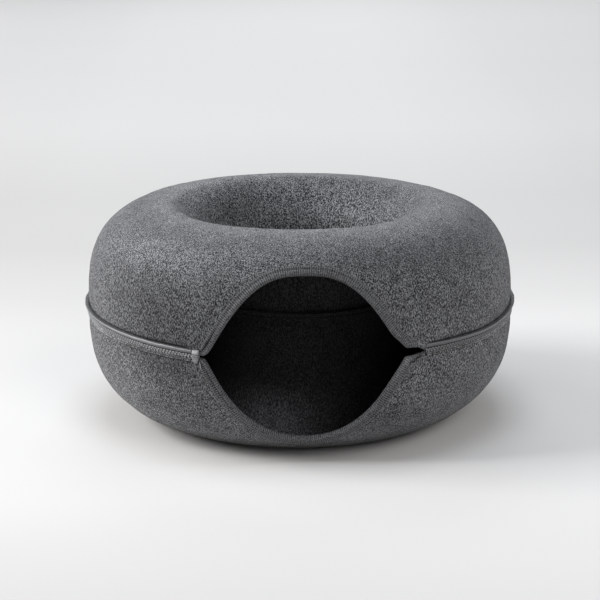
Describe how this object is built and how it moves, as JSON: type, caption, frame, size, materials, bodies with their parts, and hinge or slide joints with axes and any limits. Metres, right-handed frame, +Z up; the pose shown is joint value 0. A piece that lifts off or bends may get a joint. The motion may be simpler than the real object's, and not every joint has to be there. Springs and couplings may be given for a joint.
{
  "type": "felt cat cave",
  "caption": "Ring-shaped felt tunnel bed for a cat, in pressed halves with an eye-shaped way in at the front, a centre hole and a zip round the outside.",
  "frame": {"origin": "on the floor, under the middle of the bed's overall box, so the ring's own axis lies 7.3 mm in front of it", "axes": "+X to the right seen from the front, along the longest side; +Y towards the back, away from the way in; +Z up along the shortest side"},
  "size_m": [0.5093, 0.4907, 0.2499],
  "materials": {
    "felt": "heathered needle-punched felt, mid grey",
    "tape": "woven polyester tape, grey",
    "coil": "nylon zip coil, grey",
    "tab": "ribbed end tab, pale grey"
  },
  "bodies": {
    "root": {"felt_upper_half": "felt", "felt_lower_half": "felt", "binding_upper": "tape", "binding_lower": "tape", "zip_tape_upper": "tape", "zip_coil": "coil", "zip_tape_lower": "tape", "zip_end_tab": "tab"}
  },
  "joints": []
}
